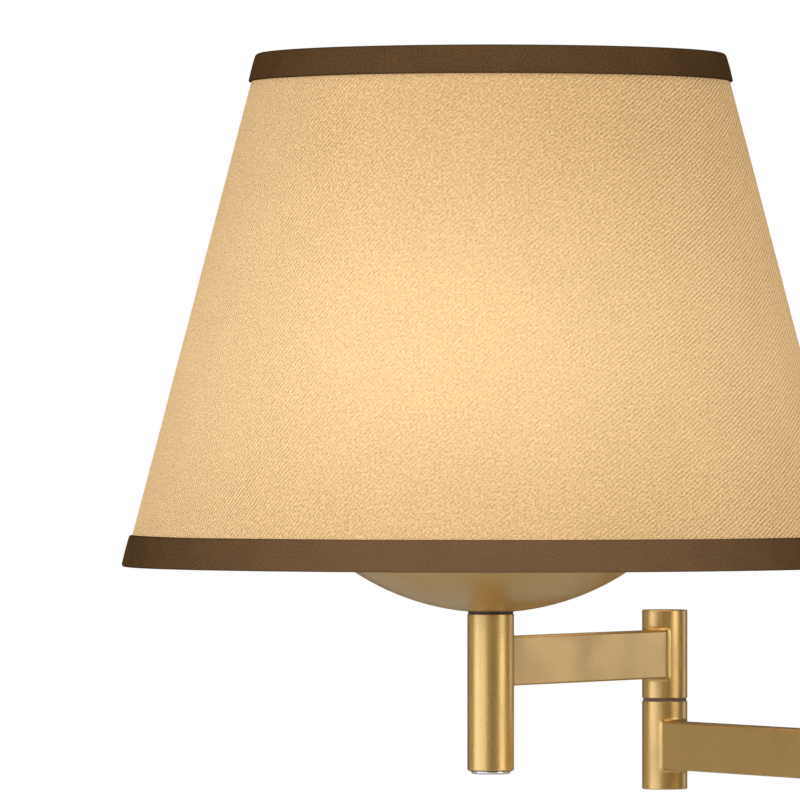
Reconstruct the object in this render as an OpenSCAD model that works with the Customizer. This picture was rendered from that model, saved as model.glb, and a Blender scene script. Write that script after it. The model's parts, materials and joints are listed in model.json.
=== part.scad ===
// Swing arm wall sconce. A tapered linen shade stands over a spun brass bowl on a hanging post, and
// two flat bars carry the post from the wall through two stacked pivots, so that each section of
// the arm is one level above the section before it.
// +Z is up and the wall is the plane Y = 0; the lamp stands out towards -Y. The origin is the centre
// of the mounting strap's back. The arms are drawn half folded, which is the rest position.

/* [Wall plate] */
// Distance between the two screws of the wall box
box_spacing = 88.9; // [80:0.1:100]
// Half width of the strap's screw slots
slot_r = 2.4; // [2:0.1:3]
// Length of a slot from end to end
slot_l = 10; // [7:0.5:14]
// Metal left beyond each slot
strap_end = 4.5; // [3:0.5:8]
// Width of the strap
strap_w = 22; // [16:1:30]
// Thickness of the strap
strap_t = 2.5; // [1.5:0.1:4]
// Gap between the strap's ends and the plate's wall
plate_clear = 4.85; // [2:0.05:12]
// Depth of the wall plate
plate_depth = 22; // [18:0.5:30]
// Sheet thickness of the wall plate
plate_wall = 1.2; // [0.8:0.1:2]
// Radius of the plate's front edge
plate_edge = 6; // [3:0.5:9]
// Distance between the two studs that hold the plate
stud_spacing = 60; // [48:1:72]
// Radius of a stud
stud_r = 2; // [1.5:0.1:3]

/* [Bracket] */
// Distance from the wall to the first pivot
standoff = 75; // [65:1:110]
// Radius of the flange on the plate
flange_r = 16; // [14:0.5:24]
// Thickness of the flange
flange_t = 8; // [6:0.5:14]
// Radius of the threaded nipples
nipple_r = 5; // [4.6:0.1:6]
// Bore radius of the threaded nipples
nipple_bore_r = 3.4; // [2.6:0.1:4]

/* [Arms] */
// Length of the lower arm between its pivots
lower_arm_l = 141; // [115:1:220]
// Length of the upper arm from the elbow to the post
upper_arm_l = 141; // [115:1:220]
// Height of the bars
bar_h = 20.2; // [14:0.1:26]
// Thickness of the bars
bar_t = 12; // [9:0.1:15]
// Wall of the hollow bars
bar_wall = 1.5; // [1:0.1:2]
// Radius of the bars' long edges
bar_edge = 0.8; // [0.3:0.1:1.4]

/* [Pivots] */
// Diameter of the knuckles
knuckle_d = 19.2; // [18:0.1:26]
// Height of one knuckle
knuckle_h = 37.4; // [34:0.1:50]
// Wall of a knuckle
knuckle_wall = 2; // [1.5:0.1:2.5]
// Thickness of a knuckle's floor
floor_t = 6; // [4:0.5:9]
// Thickness of the pressed-in caps
cap_t = 2.5; // [1.5:0.1:4]
// Gap between the two knuckles of a pivot
pivot_gap = 1.2; // [0.8:0.1:2]
// Radius of the hollow pivot
pivot_r = 4.9; // [4.4:0.1:5.5]
// Bore radius of the hollow pivot
pivot_bore_r = 3.4; // [2.6:0.1:3.8]
// Radial clearance of the pivot in the upper knuckle
run_clear = 0.05; // [0.02:0.01:0.1]
// Radius of the stop pins
pin_r = 1; // [0.8:0.1:1.2]
// Swing of the lower arm to each side of straight out
wall_limit = 85; // [60:1:88]
// Bend of the elbow to each side of straight
elbow_limit = 140; // [100:1:145]

/* [Post and switch] */
// Diameter of the post
post_d = 19.2; // [18:0.1:26]
// Height of the post above the upper bar's middle
post_up = 19.6; // [14:0.5:40]
// Length of the post below the upper bar's middle
post_down = 44.7; // [40:0.1:52]
// Wall of the post
post_wall = 1.4; // [1:0.1:2]
// How far the button stands out
button_out = 1.5; // [1.3:0.1:4]
// Travel of the button
button_travel = 1.2; // [0.8:0.1:1.2]
// Radial clearance of the button in its sleeve
button_clear = 0.08; // [0.04:0.01:0.1]

/* [Bowl] */
// Radius of the sphere that the bowl is cut from
bowl_sphere_r = 102.3; // [90:0.1:140]
// Radius of the bowl's rim
bowl_rim_r = 80; // [60:1:86]
// Sheet thickness of the bowl
bowl_wall = 1.2; // [0.8:0.1:2]
// Radius of the bead on the rim
bead_r = 1.4; // [1:0.1:2.5]
// Height of the dark groove between post and bowl
bowl_gap = 0.5; // [0.4:0.1:2]

/* [Shade] */
// Diameter of the linen at the top
shade_top_d = 190.6; // [150:0.2:240]
// Diameter of the linen at the bottom
shade_bottom_d = 301; // [240:0.2:370]
// Height of the shade with its trim
shade_h = 210.5; // [170:0.1:260]
// Height of the shade's bottom edge above the bowl's lowest point
shade_lift = 19; // [8:1:36]
// Thickness of the linen
linen_t = 0.8; // [0.5:0.1:1.2]
// Thickness of the stiff liner
liner_t = 0.8; // [0.5:0.1:1.5]
// Height of the top trim
trim_top_h = 11.6; // [8:0.1:20]
// Height of the bottom trim
trim_bottom_h = 12.9; // [8:0.1:20]
// How far the trim stands proud of the linen
trim_proud = 1.3; // [0.6:0.1:2]
// Height of the trim's fold inside the shade
trim_fold_h = 9; // [7:0.5:14]
// Radius of the shade's wire rings
ring_r = 1.6; // [1.2:0.1:2.5]
// Depth of the spider's hub below the shade's top
spider_drop = 15; // [13:0.5:25]
// Radius of the spider's spokes
spoke_r = 1.5; // [1:0.1:2]

/* [Lamp holder] */
// Radius of the harp's wire
harp_wire_r = 1.6; // [1.2:0.1:2]
// Half width of the harp at its widest
harp_half = 45; // [42:0.5:60]
// Half distance between the harp's feet
harp_foot = 24; // [23:0.5:26]
// Outside radius of the socket shell
socket_r = 16.5; // [16:0.1:17]
// Height of the socket above its cap's foot
socket_h = 60; // [55:1:70]
// Diameter of the bulb
bulb_d = 60; // [45:1:76]
// Length of the bulb from its contact to its top
bulb_l = 110; // [100:1:130]
// Diameter of the bulb's screw base
base_d = 26.4; // [26:0.1:27]

/* [Hidden] */

// Finish colours
brass = [0.80, 0.65, 0.42];
steel = [0.72, 0.72, 0.74];
black = [0.12, 0.12, 0.12];
linen = [0.93, 0.80, 0.58];
brown = [0.30, 0.22, 0.15];
white = [0.95, 0.94, 0.92];

// Smoothness of the preview; every round face is exact in the finished solids
fine = 96;
coarse = 48;
// Length by which a cutting shape runs past what it cuts
past = 1;
// Play between faces that slide on each other
play = 0.05;
// Chamfer on turned edges
edge = 0.3;

// Directions of the arms at rest, counted from +X
lower_dir = 209.3;
elbow_bend = 118.54;
upper_dir = lower_dir + elbow_bend;
straight_out = 270;

// Levels: each section of the arm is one pitch above the one before
knuckle_r = knuckle_d / 2;
pitch = knuckle_h + pivot_gap;
lower_z = pitch;
upper_z = 2 * pitch;

// Joint ranges, from the rest position
wall_low = straight_out - wall_limit - lower_dir;
wall_high = straight_out + wall_limit - lower_dir;
elbow_low = -elbow_limit - elbow_bend;
elbow_high = elbow_limit - elbow_bend;

// Wall plate
strap_l = box_spacing + slot_l + 2 * strap_end;
plate_r = strap_l / 2 + plate_clear + plate_wall;
stud_clear = 0.3;
stud_l = plate_depth + 6;
cap_nut_r = 2.4 * stud_r;
cap_nut_h = 2.6 * stud_r;
nipple_clear = 0.15;
locknut_t = 3;
locknut_r = 1.8 * nipple_r;
flange_bore_depth = 0.6 * flange_t;
spigot_l = 8;
spigot_clear = 0.1;

// Pivots
chamber_r = knuckle_r - knuckle_wall;
pin_ring_r = (pivot_r + knuckle_r) / 2;
groove_r = pin_r + 0.1;
groove_depth = 2.2;
pin_depth = 3;
washer_r = knuckle_r - 0.4;
pivot_head_t = 1.5;
pivot_head_r = chamber_r - 0.8;
spring_t = 1;
spring_sheet = 0.6;
pivot_nut_t = 4;
nut_clear = 0.6;

// Leads
lead_r = 1.9;
lead_bend = 6;
lead_hole_r = 3;
lead_clear = 0.1;
drop_x = 9.5;
drop_z = 19;
connector_r = 4.6;
connector_l = 22;
connector_x = 6;

// Post and switch
post_r = post_d / 2;
post_top = upper_z + post_up;
post_bottom = upper_z - post_down;
post_chamber_r = post_r - post_wall;
sleeve_r = post_r - 0.7;
button_r = sleeve_r - 0.8 - button_clear;
button_bottom = post_bottom - button_out;
button_top = post_bottom + 3;
button_edge = 0.9;
button_wall = 1.2;
plunger_r = 2.4;
plunger_top = button_top + 4.5;
switch_z = button_top + button_travel + 0.3;
switch_h = 19;
sleeve_out = 0.3;
feed_x = 2.5;
tail_x = -1.4;

// Bowl
bowl_z = post_top + bowl_gap;
bowl_centre = bowl_z + bowl_sphere_r;
bowl_flat_r = 9.4;
bowl_in_r = bowl_sphere_r - bowl_wall;
bowl_flat_z = bowl_centre - sqrt(pow(bowl_sphere_r, 2) - pow(bowl_flat_r, 2));
bowl_floor_z = bowl_centre - sqrt(pow(bowl_in_r, 2) - pow(bowl_flat_r, 2));
bowl_rim_z = bowl_centre - sqrt(pow(bowl_sphere_r, 2) - pow(bowl_rim_r, 2));
bead_at = (bowl_sphere_r - bowl_wall / 2) / bowl_sphere_r;

// Lamp holder
bowl_nut_t = 3.2;
saddle_z = bowl_floor_z + bowl_nut_t;
saddle_t = 1.5;
saddle_w = 12;
tab_w = 3;
tab_h = 10;
cap_z = saddle_z + saddle_t;
socket_sheet = 0.6;
socket_cap_r = socket_r + 0.1 + socket_sheet;
socket_cap_h = 15;
socket_foot_r = 12;
shell_z = cap_z + 11;
socket_top = cap_z + socket_h;
puck_z = cap_z + 18;
puck_h = 10;
contact_z = puck_z + puck_h + 1;
base_r = base_d / 2;
base_l = 26;
base_sheet = 0.5;
glass_t = 1;
glass_z = contact_z + base_l;
globe_r = bulb_d / 2;
globe_z = contact_z + bulb_l - globe_r;

// Shade
shade_bottom = bowl_z + shade_lift;
shade_top = shade_bottom + shade_h;
shade_slope = (shade_bottom_d - shade_top_d) / 2 / shade_h;
cover_t = 0.9;
fold_t = 0.8;
skin_t = linen_t + liner_t;
ring_clear = 0.2;
ring_top_z = shade_top - cover_t - ring_r - ring_clear / 2;
ring_bottom_z = shade_bottom + cover_t + ring_r + ring_clear / 2;
fold_in = skin_t + 2 * ring_clear + 2 * ring_r;
hub_t = 3.4;
hub_r = 9;
hub_z = shade_top - spider_drop - hub_t;
stud_top = hub_z + hub_t + 8;
harp_stud_r = 3.1;
harp_disc_r = 6.5;
harp_top = hub_z - 3.2;
spoke_x = ring_radius(ring_top_z) - ring_r - spoke_r;
spoke_bend = 6;

// Outside radius of the linen at height z
function shade_r(z) = shade_top_d / 2 + (shade_top - z) * shade_slope;
// Radius of a wire ring's middle at height z
function ring_radius(z) = shade_r(z) - skin_t - ring_clear - ring_r;
// 0 to 1 with level ends
function ease(t) = t * t * (3 - 2 * t);

module at_wall_pivot() {
    translate([0, -standoff, 0]) children();
}

module at_elbow() {
    at_wall_pivot() rotate([0, 0, lower_dir]) translate([lower_arm_l, 0, 0])
        rotate([0, 0, -lower_dir]) children();
}

module at_post() {
    at_elbow() rotate([0, 0, upper_dir]) translate([upper_arm_l, 0, 0])
        rotate([0, 0, -upper_dir]) children();
}

// Turns a shape that stands on Z so that it stands out from the wall
module out_from_wall() {
    rotate([90, 0, 0]) children();
}

// Solid bar of radius r from z = 0 to h with chamfered ends
module turned_rod(r, h, e = edge) {
    rotate_extrude($fn = fine)
        polygon([[0, 0], [r - e, 0], [r, e], [r, h - e], [r - e, h], [0, h]]);
}

module tube(r_out, r_in, h) {
    difference() {
        cylinder(r = r_out, h = h, $fn = fine);
        translate([0, 0, -past]) cylinder(r = r_in, h = h + 2 * past, $fn = fine);
    }
}

module hex_nut(r, bore, h) {
    difference() {
        cylinder(r = r, h = h, $fn = 6);
        translate([0, 0, -past]) cylinder(r = bore, h = h + 2 * past, $fn = coarse);
    }
}

module rounded_rect(w, h, r) {
    square([w - 2 * r, h], center = true);
    square([w, h - 2 * r], center = true);
    for (x = [-1, 1], y = [-1, 1])
        translate([x * (w / 2 - r), y * (h / 2 - r)]) circle(r = r, $fn = coarse);
}

// Half of a flat figure, on the side x > 0, for turning about Z
module right_half(size) {
    intersection() {
        children();
        translate([0, -size]) square([size, 2 * size]);
    }
}

// Hollow bar along +X from x0 to x1, its ends coped to the round parts that they meet
module hollow_bar(x0, x1, copes) {
    difference() {
        translate([x0, 0, 0]) rotate([90, 0, 90]) linear_extrude(height = x1 - x0)
            difference() {
                rounded_rect(bar_t, bar_h, bar_edge);
                rounded_rect(bar_t - 2 * bar_wall, bar_h - 2 * bar_wall, bar_edge / 2);
            }
        for (c = copes)
            translate([c[0], 0, 0])
                cylinder(r = c[1], h = bar_h + 2 * past, center = true, $fn = fine);
    }
}

// One half of a pivot, a turned cup at the bar's height. side is 1 where its floor is on top and
// -1 where it is underneath. Each angle in leads has a hole for the lead.
module knuckle(side, bore, leads) {
    chamber_z = side > 0 ? -knuckle_h / 2 - past : -knuckle_h / 2 + floor_t;
    difference() {
        translate([0, 0, -knuckle_h / 2]) turned_rod(knuckle_r, knuckle_h);
        translate([0, 0, chamber_z])
            cylinder(r = chamber_r, h = knuckle_h - floor_t + past, $fn = fine);
        cylinder(r = bore, h = knuckle_h + 2 * past, center = true, $fn = fine);
        for (a = leads)
            rotate([0, 0, a]) rotate([0, 90, 0])
                cylinder(r = lead_hole_r, h = knuckle_r + past, $fn = coarse);
    }
}

// Lower knuckle, with the hole that holds the stop pin
module pinned_knuckle(pin_dir, leads) {
    difference() {
        knuckle(1, pivot_r, leads);
        rotate([0, 0, pin_dir]) translate([pin_ring_r, 0, knuckle_h / 2 - pin_depth])
            cylinder(r = pin_r, h = pin_depth + past, $fn = coarse);
    }
}

// Upper knuckle, with the curved groove that the stop pin runs in
module grooved_knuckle(pin_dir, low, high, leads) {
    pin_share = asin(groove_r / pin_ring_r);
    difference() {
        knuckle(-1, pivot_r + run_clear, leads);
        translate([0, 0, -knuckle_h / 2 - past]) rotate([0, 0, pin_dir - high - pin_share])
            rotate_extrude(angle = high - low + 2 * pin_share, $fn = fine)
                translate([pin_ring_r - groove_r, 0])
                    square([2 * groove_r, groove_depth + past]);
    }
}

// Cap pressed into a knuckle's open end
module knuckle_cap(side) {
    translate([0, 0, side > 0 ? -knuckle_h / 2 : knuckle_h / 2 - cap_t])
        cylinder(r = chamber_r, h = cap_t, $fn = fine);
}

// The pieces of a pivot, with z = 0 in the middle of its gap
module pivot_tube() {
    low = pivot_gap / 2 + floor_t;
    difference() {
        union() {
            translate([0, 0, -low - pivot_head_t])
                cylinder(r = pivot_head_r, h = pivot_head_t, $fn = fine);
            translate([0, 0, -low - pivot_head_t / 2])
                cylinder(r = pivot_r, $fn = fine,
                    h = 2 * low + pivot_head_t / 2 + spring_t + pivot_nut_t + edge);
        }
        cylinder(r = pivot_bore_r, h = 4 * (low + pivot_nut_t), center = true, $fn = fine);
    }
}

module pivot_nut() {
    translate([0, 0, pivot_gap / 2 + floor_t + spring_t + play])
        hex_nut(chamber_r - nut_clear, pivot_r, pivot_nut_t);
}

module spring_washer() {
    dish = spring_t - spring_sheet;
    r_in = pivot_r + play;
    r_out = pivot_head_r;
    translate([0, 0, pivot_gap / 2 + floor_t + play]) rotate_extrude($fn = fine)
        polygon([[r_in, 0], [r_out, dish], [r_out, spring_t], [r_in, spring_sheet]]);
}

module friction_washer(pin_dir) {
    difference() {
        translate([0, 0, -pivot_gap / 2]) tube(washer_r, pivot_r + play, pivot_gap - play);
        rotate([0, 0, pin_dir]) translate([pin_ring_r, 0, 0])
            cylinder(r = groove_r, h = 2 * pivot_gap, center = true, $fn = coarse);
    }
}

module stop_pin(pin_dir) {
    rotate([0, 0, pin_dir]) translate([pin_ring_r, 0, -pivot_gap / 2 - pin_depth])
        cylinder(r = pin_r, h = pin_depth + pivot_gap + groove_depth - 0.3, $fn = coarse);
}

// Leads: straight stretches and quarter bends in the XZ plane, in round wire of radius r
module lead_up(x, z0, z1, r = lead_r) {
    translate([x, 0, z0]) cylinder(r = r, h = z1 - z0, $fn = coarse);
}

module lead_along(x0, x1, z, r = lead_r) {
    translate([x0, 0, z]) rotate([0, 90, 0]) cylinder(r = r, h = x1 - x0, $fn = coarse);
}

// A quarter bend about the point (x, z), starting at the angle a
module lead_turn(x, z, a, bend = lead_bend, r = lead_r) {
    translate([x, 0, z]) rotate([90, 0, 0]) rotate([0, 0, a])
        rotate_extrude(angle = 90, $fn = coarse) translate([bend, 0]) circle(r = r, $fn = 24);
}

// Wall plate and its fixings

module wall_plate() {
    color(brass) out_from_wall() difference() {
        rotate_extrude($fn = fine) difference() {
            union() {
                square([plate_r - plate_edge, plate_depth]);
                square([plate_r, plate_depth - plate_edge]);
                translate([plate_r - plate_edge, plate_depth - plate_edge])
                    circle(r = plate_edge, $fn = coarse);
            }
            translate([0, -past]) {
                square([plate_r - plate_edge, plate_depth - plate_wall + past]);
                square([plate_r - plate_wall, plate_depth - plate_edge + past]);
            }
            translate([plate_r - plate_edge, plate_depth - plate_edge])
                circle(r = plate_edge - plate_wall, $fn = coarse);
        }
        cylinder(r = nipple_r + nipple_clear, h = plate_depth + past, $fn = fine);
        for (s = [-1, 1])
            translate([s * stud_spacing / 2, 0, 0])
                cylinder(r = stud_r + stud_clear, h = plate_depth + past, $fn = coarse);
    }
}

module mounting_strap() {
    color(steel) out_from_wall() linear_extrude(height = strap_t) difference() {
        rounded_rect(strap_l, strap_w, 4);
        for (s = [-1, 1]) {
            translate([s * box_spacing / 2, 0]) {
                square([slot_l - 2 * slot_r, 2 * slot_r], center = true);
                for (e = [-1, 1])
                    translate([e * (slot_l / 2 - slot_r), 0]) circle(r = slot_r, $fn = coarse);
            }
            translate([s * stud_spacing / 2, 0]) circle(r = stud_r, $fn = coarse);
        }
        translate([0, strap_w / 4]) circle(r = stud_r, $fn = coarse);
    }
}

module strap_studs() {
    color(steel) out_from_wall() for (s = [-1, 1])
        translate([s * stud_spacing / 2, 0, 0]) cylinder(r = stud_r, h = stud_l, $fn = coarse);
}

module cap_nuts() {
    color(brass) out_from_wall() for (s = [-1, 1])
        translate([s * stud_spacing / 2, 0, plate_depth]) difference() {
            rotate_extrude($fn = fine) right_half(4 * cap_nut_r) {
                union() {
                    translate([0, cap_nut_h / 4])
                        square([2 * cap_nut_r, cap_nut_h / 2], center = true);
                    intersection() {
                        translate([0, cap_nut_h / 2]) circle(r = cap_nut_r, $fn = coarse);
                        translate([-cap_nut_r, 0]) square([2 * cap_nut_r, 2 * cap_nut_h]);
                    }
                }
            }
            translate([0, 0, -past])
                cylinder(r = stud_r, h = stud_l - plate_depth + past, $fn = coarse);
        }
}

module ground_screw() {
    color([0.2, 0.5, 0.25]) out_from_wall() translate([0, strap_w / 4, 0]) {
        cylinder(r = stud_r, h = strap_t + 1, $fn = coarse);
        translate([0, 0, strap_t]) turned_rod(2 * stud_r, stud_r, 0.4);
    }
}

module bracket_flange() {
    round_r = 2;
    color(brass) out_from_wall() translate([0, 0, plate_depth]) difference() {
        union() {
            rotate_extrude($fn = fine) {
                square([flange_r - round_r, flange_t]);
                square([flange_r, flange_t - round_r]);
                translate([flange_r - round_r, flange_t - round_r])
                    circle(r = round_r, $fn = coarse);
            }
            translate([0, 0, flange_t + spigot_l / 2]) cube([
                bar_t - 2 * bar_wall - spigot_clear,
                bar_h - 2 * bar_wall - spigot_clear,
                spigot_l
            ], center = true);
        }
        translate([0, 0, -past])
            cylinder(r = nipple_r, h = flange_bore_depth + past, $fn = fine);
        cylinder(r = lead_r + 0.6, h = flange_t + spigot_l + past, $fn = coarse);
    }
}

module bracket_nipple() {
    start = plate_depth - plate_wall - locknut_t - 2;
    color(steel) out_from_wall() translate([0, 0, start])
        tube(nipple_r, nipple_bore_r, plate_depth + flange_bore_depth - start);
}

module bracket_locknut() {
    color(steel) out_from_wall() translate([0, 0, plate_depth - plate_wall - locknut_t])
        hex_nut(locknut_r, nipple_r, locknut_t);
}

module bracket_bar() {
    color(brass) rotate([0, 0, straight_out])
        hollow_bar(plate_depth + flange_t, standoff, [[standoff, knuckle_r]]);
}

module bracket_knuckle() {
    color(brass) at_wall_pivot() pinned_knuckle(straight_out, [straight_out - 180]);
}

module bracket_cap() {
    color(brass) at_wall_pivot() knuckle_cap(1);
}

module bracket_lead() {
    color(black) rotate([0, 0, straight_out]) {
        lead_up(drop_x, -drop_z, -lead_bend);
        lead_turn(drop_x + lead_bend, -lead_bend, 90);
        lead_along(drop_x + lead_bend, standoff - lead_bend, 0);
        lead_turn(standoff - lead_bend, lead_bend, -90);
        lead_up(standoff, lead_bend, pitch / 2 - play);
    }
}

module wire_connectors() {
    color([0.85, 0.45, 0.15]) rotate([0, 0, straight_out]) for (s = [-1, 1])
        translate([drop_x, s * connector_x, -drop_z - connector_l]) difference() {
            cylinder(r1 = 0.6 * connector_r, r2 = connector_r, h = connector_l, $fn = coarse);
            translate([0, 0, connector_l / 3])
                cylinder(r1 = 1, r2 = connector_r - 1, h = connector_l, $fn = coarse);
        }
}

// Pivot at the wall: its lower knuckle belongs to the bracket

module at_wall_gap() {
    at_wall_pivot() translate([0, 0, pitch / 2]) children();
}

module wall_pivot_tube() {
    color(steel) at_wall_gap() pivot_tube();
}

module wall_pivot_nut() {
    color(steel) at_wall_gap() pivot_nut();
}

module wall_spring_washer() {
    color(steel) at_wall_gap() spring_washer();
}

module wall_friction_washer() {
    color([0.35, 0.3, 0.27]) at_wall_gap() friction_washer(straight_out);
}

module wall_stop_pin() {
    color(steel) at_wall_gap() stop_pin(straight_out);
}

// Lower arm

module lower_arm_bar() {
    color(brass) at_wall_pivot() translate([0, 0, lower_z]) rotate([0, 0, lower_dir])
        hollow_bar(0, lower_arm_l, [[0, knuckle_r], [lower_arm_l, knuckle_r]]);
}

module lower_arm_wall_knuckle() {
    color(brass) at_wall_pivot() translate([0, 0, lower_z])
        grooved_knuckle(straight_out, wall_low, wall_high, [lower_dir]);
}

module lower_arm_elbow_knuckle() {
    color(brass) at_elbow() translate([0, 0, lower_z])
        pinned_knuckle(lower_dir, [lower_dir - 180]);
}

module lower_arm_caps() {
    color(brass) {
        at_wall_pivot() translate([0, 0, lower_z]) knuckle_cap(-1);
        at_elbow() translate([0, 0, lower_z]) knuckle_cap(1);
    }
}

module lower_arm_lead() {
    color(black) at_wall_pivot() rotate([0, 0, lower_dir]) {
        lead_up(0, pitch / 2 + play, lower_z - lead_bend);
        lead_turn(lead_bend, lower_z - lead_bend, 90);
        lead_along(lead_bend, lower_arm_l - lead_bend, lower_z);
        lead_turn(lower_arm_l - lead_bend, lower_z + lead_bend, -90);
        lead_up(lower_arm_l, lower_z + lead_bend, 1.5 * pitch - play);
    }
}

// Elbow pivot: its lower knuckle belongs to the lower arm

module at_elbow_gap() {
    at_elbow() translate([0, 0, 1.5 * pitch]) children();
}

module elbow_pivot_tube() {
    color(steel) at_elbow_gap() pivot_tube();
}

module elbow_pivot_nut() {
    color(steel) at_elbow_gap() pivot_nut();
}

module elbow_spring_washer() {
    color(steel) at_elbow_gap() spring_washer();
}

module elbow_friction_washer() {
    color([0.35, 0.3, 0.27]) at_elbow_gap() friction_washer(lower_dir);
}

module elbow_stop_pin() {
    color(steel) at_elbow_gap() stop_pin(lower_dir);
}

// Upper arm

module upper_arm_bar() {
    color(brass) at_elbow() translate([0, 0, upper_z]) rotate([0, 0, upper_dir])
        hollow_bar(0, upper_arm_l, [[0, knuckle_r], [upper_arm_l, post_r]]);
}

module upper_arm_knuckle() {
    color(brass) at_elbow() translate([0, 0, upper_z])
        grooved_knuckle(lower_dir, elbow_low, elbow_high, [upper_dir]);
}

module upper_arm_cap() {
    color(brass) at_elbow() translate([0, 0, upper_z]) knuckle_cap(-1);
}

module upper_arm_lead() {
    end_x = upper_arm_l - feed_x;
    color(black) at_elbow() rotate([0, 0, upper_dir]) {
        lead_up(0, 1.5 * pitch + play, upper_z - lead_bend);
        lead_turn(lead_bend, upper_z - lead_bend, 90);
        lead_along(lead_bend, end_x - lead_bend, upper_z);
        lead_turn(end_x - lead_bend, upper_z - lead_bend, 0);
        lead_up(end_x, switch_z + switch_h, upper_z - lead_bend);
    }
}

// Post and switch

module post() {
    post_h = post_top - post_bottom;
    color(brass) at_post() difference() {
        translate([0, 0, post_bottom]) turned_rod(post_r, post_h);
        translate([0, 0, switch_z]) cylinder(
            r = post_chamber_r, h = post_top - floor_t - switch_z, $fn = fine);
        translate([0, 0, post_bottom - past])
            cylinder(r = sleeve_r, h = switch_z - post_bottom + past, $fn = fine);
        translate([0, 0, post_top - floor_t - past])
            cylinder(r = nipple_r, h = floor_t + 2 * past, $fn = fine);
        translate([0, 0, upper_z]) rotate([0, 0, upper_dir - 180]) rotate([0, 90, 0])
            cylinder(r = lead_hole_r, h = post_r + past, $fn = coarse);
    }
}

module switch_body() {
    color(black) at_post() translate([0, 0, switch_z]) difference() {
        turned_rod(post_chamber_r - lead_clear, switch_h);
        translate([0, 0, -past]) cylinder(
            r = plunger_r + button_clear,
            h = plunger_top + button_travel - switch_z + 2 * past, $fn = fine);
    }
}

module switch_sleeve() {
    color(black) at_post() translate([0, 0, post_bottom - sleeve_out])
        tube(sleeve_r, button_r + button_clear, switch_z - post_bottom + sleeve_out);
}

module switch_button() {
    height = button_top - button_bottom;
    color(steel) at_post() {
        translate([0, 0, button_bottom]) rotate_extrude($fn = fine) difference() {
            union() {
                square([button_r - button_edge, height]);
                translate([0, button_edge]) square([button_r, height - button_edge]);
                translate([button_r - button_edge, button_edge])
                    circle(r = button_edge, $fn = coarse);
            }
            translate([plunger_r, button_wall + button_edge])
                square([button_r - button_wall - plunger_r, height]);
        }
        translate([0, 0, button_bottom + button_edge]) cylinder(
            r = plunger_r, h = plunger_top - button_bottom - button_edge, $fn = fine);
    }
}

module socket_lead() {
    color(black) at_post() rotate([0, 0, upper_dir])
        lead_up(-tail_x, switch_z + switch_h, puck_z);
}

// Bowl and lamp holder

module post_nipple() {
    color(steel) at_post() translate([0, 0, post_top - floor_t])
        tube(nipple_r, nipple_bore_r, cap_z + 3 - post_top + floor_t);
}

module bowl_washer() {
    color(black) at_post() translate([0, 0, post_top])
        tube(bowl_flat_r - 0.1, nipple_r, bowl_flat_z - post_top);
}

module bowl() {
    color(brass) at_post() rotate_extrude($fn = 144) {
        intersection() {
            translate([0, bowl_centre]) difference() {
                circle(r = bowl_sphere_r, $fn = 256);
                circle(r = bowl_in_r, $fn = 256);
            }
            translate([bowl_flat_r - 0.5, bowl_flat_z])
                square([bowl_rim_r - bowl_flat_r + 0.5, bowl_rim_z - bowl_flat_z]);
        }
        translate([nipple_r + nipple_clear, bowl_flat_z])
            square([bowl_flat_r - nipple_r - nipple_clear, bowl_floor_z - bowl_flat_z]);
        translate([bowl_rim_r * bead_at, bowl_centre - (bowl_centre - bowl_rim_z) * bead_at])
            circle(r = bead_r, $fn = coarse);
    }
}

module bowl_nut() {
    color(steel) at_post() translate([0, 0, bowl_floor_z])
        hex_nut(1.65 * nipple_r, nipple_r, bowl_nut_t);
}

module harp_saddle() {
    half = harp_foot + saddle_t / 2;
    color(brass) at_post() translate([0, 0, saddle_z]) difference() {
        union() {
            translate([-half, -saddle_w / 2, 0]) cube([2 * half, saddle_w, saddle_t]);
            for (s = [-1, 1])
                translate([s * harp_foot - saddle_t / 2, -tab_w / 2, 0])
                    cube([saddle_t, tab_w, tab_h]);
        }
        translate([0, 0, -past])
            cylinder(r = nipple_r + play, h = saddle_t + 2 * past, $fn = coarse);
    }
}

module harp_ferrules() {
    color(brass) at_post() for (s = [-1, 1])
        translate([s * harp_foot, 0, saddle_z + saddle_t + 2])
            tube(harp_wire_r + 1.6, harp_wire_r + 0.2, 14);
}

// The harp's wire, as points (x, z) from one foot to the top: straight, then out in an easy curve,
// then in along a quarter ellipse
harp_start = saddle_z + tab_h + 0.5;
harp_leg = harp_start + 9;
harp_wide = harp_leg + 0.38 * (harp_top - harp_leg);
harp_side = concat(
    [[harp_foot, harp_start]],
    [for (i = [0:8]) [
        harp_foot + (harp_half - harp_foot) * ease(i / 8),
        harp_leg + (harp_wide - harp_leg) * i / 8
    ]],
    [for (i = [1:11]) [
        harp_half * cos(7.5 * i),
        harp_wide + (harp_top - harp_wide) * sin(7.5 * i)
    ]]
);
harp_path = concat(
    harp_side,
    [[0, harp_top]],
    [for (i = [len(harp_side) - 1:-1:0]) [-harp_side[i][0], harp_side[i][1]]]
);

// Angle of the wire's direction at point i, in the XZ plane
function wire_angle(p, i) =
    let (a = p[max(i - 1, 0)], b = p[min(i + 1, len(p) - 1)]) atan2(b[1] - a[1], b[0] - a[0]);

// A round wire along points in the XZ plane
module bent_wire(p, r, sides = 10) {
    last = len(p) - 1;
    points = [for (i = [0:last]) let (t = wire_angle(p, i)) for (k = [0:sides - 1])
        let (u = r * cos(360 * k / sides), v = r * sin(360 * k / sides))
            [p[i][0] - u * sin(t), v, p[i][1] + u * cos(t)]];
    skin = [for (i = [0:last - 1], k = [0:sides - 1])
        let (a = i * sides + k, b = i * sides + (k + 1) % sides)
            [a, b, b + sides, a + sides]];
    ends = [
        [for (k = [sides - 1:-1:0]) k],
        [for (k = [0:sides - 1]) last * sides + k]
    ];
    polyhedron(points = points, faces = concat(skin, ends));
}

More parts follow.
